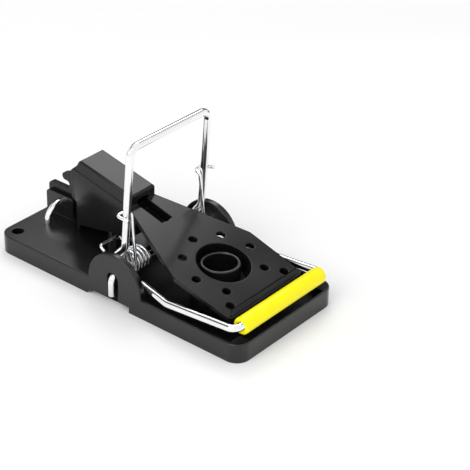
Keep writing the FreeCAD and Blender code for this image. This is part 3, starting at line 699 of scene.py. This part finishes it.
@dataclass
class Striker:
    """The sprung wire frame and its yellow sleeve, with the sizes that shape them."""

    wire: float = 2.4
    wire_sides: int = 24
    bend_steps: int = 9
    chamfer: float = 0.08
    axle_x: float = 0.15
    axle_z: float = 10.2
    wrap: float = 2.55
    wrap_ease: float = 0.25
    bar_x: float = 45.9
    bar_z: float = 10.4
    butt_half: float = 0.1
    arm_z: float = 8.2
    outer_near: float = 21.1
    corner_near: float = 2.4
    outer_far: float = 20.1
    corner_far: float = 1.6
    inner: float = 18.15
    splay_end: float = 20.0
    splay_start: float = 8.0
    splay_bend: float = 6.0
    knee_rise: float = 3.8
    knee_bend: float = 2.0
    shin_rise: float = 7.6
    shin_flare: float = 0.3
    shin_bend: float = 4.0
    loop_radius: float = 41.4
    loop_lean: float = 3.5
    loop_half: float = 17.2
    loop_corner: float = 3.2
    sleeve: float = 5.3
    sleeve_half: float = 18.6
    sleeve_play: float = 0.08
    sleeve_round: float = 0.45
    sleeve_sides: int = 48

    def corners(self) -> Tuple[List[Vector], List[float]]:
        """Works out the wire's corners.

        Returns:
            The corners from one side of the butt joint to the other, and the bend at each inner one.
        """
        near = self.side_corners(self.outer_near, self.corner_near)
        far = self.side_corners(self.outer_far, self.corner_far)
        points = [mm(x, y, z) for x, y, z, _ in far] + [mm(x, -y, z) for x, y, z, _ in near[::-1]]
        bends = [b * MM for _, _, _, b in far[1:]] + [b * MM for _, _, _, b in near[:0:-1]]
        return points, bends

    def side_corners(self, outer: float, turn: float) -> List[Tuple[float, float, float, float]]:
        """Works out one side's corners in millimetres, from the butt joint to the loop's top.

        Args:
            outer: How far out the front arm runs.
            turn: The bend where the bar turns into it.

        Returns:
            Each corner's place, and its bend.
        """
        lean = math.radians(self.loop_lean)
        back, low = self.axle_x - self.wrap, self.axle_z - self.wrap
        return [
            (self.bar_x, self.butt_half, self.bar_z, 0.0),
            (self.bar_x, outer, self.bar_z, turn),
            (self.splay_end, outer, self.arm_z, self.splay_bend),
            (self.splay_start, self.inner, self.arm_z, self.splay_bend),
            (self.axle_x + self.wrap, self.inner, low, self.splay_bend),
            (back, self.inner, low, self.wrap - self.wrap_ease),
            (back - self.wrap_ease, self.inner, self.axle_z + self.knee_rise, self.knee_bend),
            (self.axle_x + self.shin_flare, self.loop_half + self.shin_flare,
             self.axle_z + self.shin_rise, self.shin_bend),
            (self.axle_x + self.loop_radius * math.sin(lean), self.loop_half,
             self.axle_z + self.loop_radius * math.cos(lean), self.loop_corner),
        ]

    def build(self, dresser: Dresser) -> List[bpy.types.Object]:
        """Bends the wire and slips the sleeve on.

        Args:
            dresser: Puts the finishes on.

        Returns:
            The wire and the sleeve.
        """
        points, bends = self.corners()
        way = points[1] - points[0]
        bench = WireBench("striker_wire", points[0], way, self.wire * MM, self.wire_sides)
        bench.along(points, bends, self.bend_steps)
        wire = bench.cut(self.chamfer * MM)
        dresser.dress(wire, Finish.WIRE)
        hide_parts("striker_frame")
        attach(wire, "striker")
        return [wire, self.build_sleeve(dresser)]

    def build_sleeve(self, dresser: Dresser) -> bpy.types.Object:
        """Makes the yellow tube with its softly rolled ends.

        Args:
            dresser: Puts the finish on.

        Returns:
            The tube.
        """
        Bench.clear_selection()
        radius, half = self.sleeve / 2 * MM, self.sleeve_half * MM
        bore = (self.wire / 2 + self.sleeve_play) * MM
        bpy.ops.mesh.primitive_circle_add(
            vertices=self.sleeve_sides, radius=radius, fill_type="NGON",
            location=(self.bar_x * MM, -half, self.bar_z * MM), rotation=(math.pi / 2, 0, 0),
        )
        tube = bpy.context.object
        tube.name = "grip_tube"
        bpy.ops.object.transform_apply(location=True, rotation=True, scale=True)
        Bench.edit(tube)
        bpy.ops.mesh.extrude_region_move(TRANSFORM_OT_translate={"value": (0, half * 2, 0)})
        bpy.ops.mesh.select_all(action="DESELECT")
        Bench.leave()
        for face in tube.data.polygons:
            face.select = len(face.vertices) == self.sleeve_sides
        bpy.ops.object.mode_set(mode="EDIT")
        bpy.ops.mesh.inset(thickness=radius - bore, use_individual=True)
        bpy.ops.mesh.bridge_edge_loops()
        Bench.leave()
        Bench.outward(tube)
        Bench.bevel(tube, self.sleeve_round * MM, segments=4)
        Bench.smooth(tube, SMOOTH_DEGREES)
        dresser.dress(tube, Finish.SLEEVE)
        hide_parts("grip_sleeve")
        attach(tube, "sleeve")
        tube.visible_glossy = False
        return tube


@dataclass
class Staple:
    """A straight rod across the trap with both ends bent down."""

    node: str
    x: float
    span: float
    rise: float
    foot: float
    bend: float
    rod: float = 2.2
    rod_sides: int = 24
    bend_steps: int = 9
    chamfer: float = 0.12

    def build(self, dresser: Dresser) -> bpy.types.Object:
        """Bends the rod.

        Args:
            dresser: Puts the finish on.

        Returns:
            The rod.
        """
        y = self.span / 2
        path = ((-y, self.foot), (-y, self.rise), (y, self.rise), (y, self.foot))
        points = [mm(self.x, across, up) for across, up in path]
        way = Vector((0, 0, 1))
        bench = WireBench(self.node + "_bent", points[0], way, self.rod * MM, self.rod_sides)
        bench.along(points, [self.bend * MM] * 2, self.bend_steps)
        rod = bench.cut(self.chamfer * MM)
        dresser.dress(rod, Finish.WIRE)
        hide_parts(self.node)
        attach(rod, "base")
        return rod


@dataclass
class TorsionSpring:
    """One of the two mirrored springs: hook, leg, coil, rear arm and its turned-down end."""

    node: str
    side: int
    leg_z: float
    tail_lift: float = 0.0
    wire: float = 1.0
    wire_sides: int = 16
    bend_steps: int = 7
    chamfer: float = 0.06
    radius: float = 3.1
    pitch: float = 1.5
    turns: float = 4.0
    coil_facets: int = 26
    outer: float = 15.75
    coil_x: float = -0.35
    coil_z: float = 11.2
    stem_foot: float = 0.15
    stem_y: float = 17.39
    stem_wire: float = 2.4
    stem_lean: float = 3.5
    stem_back: float = 0.8
    axle_z: float = 10.2
    play: float = 0.25
    hook_tail: float = 2.4
    hook_bend: float = 1.15
    hook_crown_bend: float = 1.265
    arm_x: float = -12.05
    arm_z: float = 12.5
    arm_inner: float = 6.68
    arm_end: float = 15.25
    arm_bend: float = 1.0
    arm_start_bend: float = 6.0
    arm_start_steps: int = 4
    arm_tail: float = 2.0
    arm_tail_slope: float = 0.6
    arm_tail_bend: float = 1.1

    def tangent(self, x: float, z: float, side: int) -> float:
        """Works out the angle at which a tangent leaves the coil for a point.

        Args:
            x: The point's place along X.
            z: The point's height.
            side: Which of the two tangents.

        Returns:
            The angle in radians.
        """
        dx, dz = x - self.coil_x, z - self.coil_z
        return math.atan2(dz, dx) + side * math.acos(self.radius / math.hypot(dx, dz))

    def hook(self) -> List[Vector]:
        """Works out the hook's corners, from its free end to the top of the leg.

        Returns:
            The corners in millimetres on the far side.
        """
        stem_x = self.stem_foot + (self.leg_z - self.axle_z) * math.tan(math.radians(self.stem_lean))
        reach = (self.stem_wire + self.wire) / 2 + self.play
        inside, outside, behind = self.stem_y - reach, self.stem_y + reach, stem_x - reach
        return [
            Vector((stem_x + self.hook_tail, outside, self.leg_z + self.tail_lift)),
            Vector((behind - self.play * 2, outside, self.leg_z + self.play)),
            Vector((behind, inside, self.leg_z + self.play * 2)),
            Vector((stem_x + self.play - self.stem_back, inside, self.leg_z)),
        ]

    def arm(self) -> List[Vector]:
        """Works out the rear arm's corners, with its turned-down end.

        Returns:
            The corners.
        """
        inner, end = self.arm_inner * self.side, self.arm_end * self.side
        drop = self.arm_tail * self.arm_tail_slope
        return [
            mm(self.arm_x, inner, self.arm_z),
            mm(self.arm_x, end, self.arm_z),
            mm(self.arm_x + self.arm_tail, end, self.arm_z - drop),
        ]

    def build(self, dresser: Dresser) -> bpy.types.Object:
        """Winds the spring.

        Args:
            dresser: Puts the finish on.

        Returns:
            The spring.
        """
        flip = Vector((MM, self.side * MM, MM))
        corners = self.hook()
        top = corners[-1]
        first = self.tangent(top.x, top.z, -1)
        last = self.tangent(self.arm_x, self.arm_z, 1) - 2 * math.pi
        turn = first - last + 2 * math.pi * self.turns
        begin = Vector((self.coil_x + self.radius * math.cos(first), self.outer,
                        self.coil_z + self.radius * math.sin(first)))
        corners[-1] = top - (begin - top).normalized() * self.play
        points = [corner * flip for corner in corners + [begin]]
        way = points[1] - points[0]
        bench = WireBench(self.node + "_wound", points[0], way, self.wire * MM, self.wire_sides)
        bends = [self.hook_bend * MM, self.hook_crown_bend * MM, self.hook_bend * MM]
        bench.along(points, bends, self.bend_steps)
        bench.way = Vector((bench.way.x, 0, bench.way.z)).normalized()
        drift = -self.pitch * turn / (2 * math.pi) * self.side * MM
        bench.coil(mm(self.coil_x, 0, self.coil_z), turn, drift, self.coil_facets)
        arm = self.arm()
        bench.bend(arm[0] - bench.spot, self.arm_start_bend * MM, self.arm_start_steps)
        bends = [self.arm_bend * MM, self.arm_tail_bend * MM]
        bench.along([bench.spot] + arm, bends, self.bend_steps)
        spring = bench.cut(self.chamfer * MM)
        dresser.dress(spring, Finish.SPRING)
        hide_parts(self.node)
        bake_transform(spring)
        return spring


# stage


@dataclass
class Studio:
    """The pale table, the soft lights, the cards and the camera, in metres and degrees."""

    azimuth: float = 38.584
    elevation: float = 30.693
    roll: float = 1.555
    distance: float = 0.513428
    side: float = 0.022289
    lift: float = 0.012278
    focal_pixels: float = 1658.493
    frame_pixels: float = 470.0
    sensor_width: float = 36.0
    nearest: float = 0.01
    table_side: float = 8.0
    table_drop: float = 0.00002
    table_shade: float = 0.9
    sheet_rise: float = 0.0006
    aim_rise: float = 0.01
    room_strength: float = 0.95

    def build_camera(self) -> None:
        """Places the camera where the photograph was taken from."""
        az, el, roll = (math.radians(v) for v in (self.azimuth, self.elevation, self.roll))
        back = Vector((math.sin(az) * math.cos(el), -math.cos(az) * math.cos(el), math.sin(el)))
        right = Vector((math.cos(az), math.sin(az), 0))
        up = back.cross(right)
        across = right * math.cos(roll) + up * math.sin(roll)
        upward = up * math.cos(roll) - right * math.sin(roll)
        eye = across * self.side + upward * self.lift + back * self.distance
        data = bpy.data.cameras.new("camera")
        data.sensor_fit = "HORIZONTAL"
        data.sensor_width = self.sensor_width
        data.lens = self.focal_pixels / self.frame_pixels * self.sensor_width
        data.clip_start = self.nearest
        camera = bpy.data.objects.new("camera", data)
        turn = Matrix((across, upward, back)).transposed()
        camera.matrix_world = Matrix.Translation(eye) @ turn.to_4x4()
        bpy.context.scene.collection.objects.link(camera)
        bpy.context.scene.camera = camera

    def build_table(self) -> None:
        """Lays the pale table top."""
        Bench.clear_selection()
        bpy.ops.mesh.primitive_plane_add(size=self.table_side, location=(0, 0, -self.table_drop))
        table = bpy.context.object
        table.name = "table"
        mix = Palette("pale_table")
        mix.shader.inputs["Base Color"].default_value = (*[self.table_shade] * 3, 1)
        mix.fix(Roughness=0.9)
        table.data.materials.append(mix.material)

    def cut_card(self, name: str, place: Vector, turn: Sequence[float], size: Tuple[float, float],
                 shade: float) -> bpy.types.Object:
        """Cuts a dull card that the camera doesn't see.

        Args:
            name: The card's name.
            place: Its middle.
            turn: Its rotation.
            size: Its width and height.
            shade: How light it is.

        Returns:
            The card.
        """
        Bench.clear_selection()
        bpy.ops.mesh.primitive_plane_add(size=1.0, location=place, rotation=turn)
        card = bpy.context.object
        card.name = name
        card.scale = (*size, 1)
        Bench.settle(card)
        mix = Palette(name + "_card")
        mix.shader.inputs["Base Color"].default_value = (shade, shade, shade, 1)
        mix.fix(Roughness=1.0, Specular_IOR_Level=0.0)
        card.data.materials.append(mix.material)
        card.visible_camera = False
        return card

    def hang_card(self, name: str, place: Vector, size: Tuple[float, float], shade: float) -> None:
        """Hangs a card that faces the trap.

        Args:
            name: The card's name.
            place: Its middle.
            size: Its width and height.
            shade: How light it is.
        """
        turn = (-place).to_track_quat("Z", "Y").to_euler()
        card = self.cut_card(name, place, turn, size, shade)

    def lay_sheet(self, name: str, near: float, far: float, width: float, toward: float,
                  shade: float) -> None:
        """Lays a card on the table behind the trap, which shows only in reflections.

        Args:
            name: The card's name.
            near: Where it begins, from the middle of the trap.
            far: Where it ends.
            width: Its width.
            toward: The direction in which it runs, in degrees from the X axis.
            shade: How light it is.
        """
        turn = math.radians(toward)
        middle = (near + far) / 2
        place = Vector((math.cos(turn) * middle, math.sin(turn) * middle, self.sheet_rise))
        sheet = self.cut_card(name, place, (0, 0, turn), (far - near, width), shade)
        sheet.visible_diffuse = False
        sheet.visible_shadow = False

    def add_light(self, name: str, place: Vector, size: float, power: float) -> None:
        """Adds a square soft light that looks at the trap.

        Args:
            name: The light's name.
            place: Where it stands.
            size: Its side.
            power: Its power in watts.
        """
        data = bpy.data.lights.new(name, "AREA")
        data.shape = "SQUARE"
        data.size = size
        data.energy = power
        lamp = bpy.data.objects.new(name, data)
        aim = Vector((0, 0, self.aim_rise)) - place
        lamp.matrix_world = Matrix.Translation(place) @ aim.to_track_quat("-Z", "Y").to_matrix().to_4x4()
        bpy.context.scene.collection.objects.link(lamp)

    def build_room(self) -> None:
        """Fills the room with an even white light."""
        world = bpy.data.worlds.new("room")
        world.use_nodes = True
        background = world.node_tree.nodes["Background"]
        background.inputs["Color"].default_value = (1, 1, 1, 1)
        background.inputs["Strength"].default_value = self.room_strength
        bpy.context.scene.world = world
        bpy.context.scene.view_settings.view_transform = "Standard"

    def build(self) -> None:
        """Sets the stage."""
        self.build_camera()
        self.build_table()
        self.hang_card("rear_card", Vector((-1.3, 1.6, 0.7)), size=(3.0, 1.44), shade=0.01)
        self.hang_card("front_card", Vector((-0.6, -0.46, 0.8)), size=(1.2, 0.36), shade=0.01)
        self.hang_card("upper_card", Vector((0.1, 0.95, 0.95)), size=(0.85, 0.6), shade=0.5)
        self.lay_sheet("rear_sheet", near=0.17, far=2.0, width=1.6, toward=137.0, shade=0.01)
        self.add_light("rear_box", Vector((-0.6, 0.83, 1.13)), size=0.75, power=5.2)
        self.add_light("front_box", Vector((-0.02, -0.8, 0.75)), size=0.75, power=4.6)
        self.build_room()


def main() -> None:
    """Builds the trap's dressed pieces and the stage."""
    logging.basicConfig(level=logging.INFO)
    dresser = Dresser()
    vent = Vent()
    pieces = [
        Moulding("base", "base", Finish.SHELL).build(dresser),
        Moulding("treadle", "treadle", Finish.ROCKER, vent).build(dresser),
        Moulding("bait_cup", "cup", Finish.CUP).build(dresser),
        Staple("axle_rod", x=0.15, span=46.52, rise=10.2, foot=3.7, bend=2.3).build(dresser),
        Staple("treadle_pin", x=-41.3, span=17.0, rise=11.5, foot=3.0, bend=5.2).build(dresser),
        TorsionSpring("spring_near", side=-1, leg_z=28.7).build(dresser),
        TorsionSpring("spring_far", side=1, leg_z=29.8, tail_lift=1.6).build(dresser),
        vent.build(dresser),
    ]
    pieces += Striker().build(dresser)
    # The tray's inner faces get the darker tray finish, painted shade of the recess.
    dresser.line(pieces[0], Finish.TRAY_SHADE, [(mm(*low), mm(*high)) for low, high in TRAY_SHADE_BOXES])
    for piece in pieces:
        LOG.info("%s: %d faces", piece.name, len(piece.data.polygons))
    Studio().build()


if __name__ == "__main__":
    main()
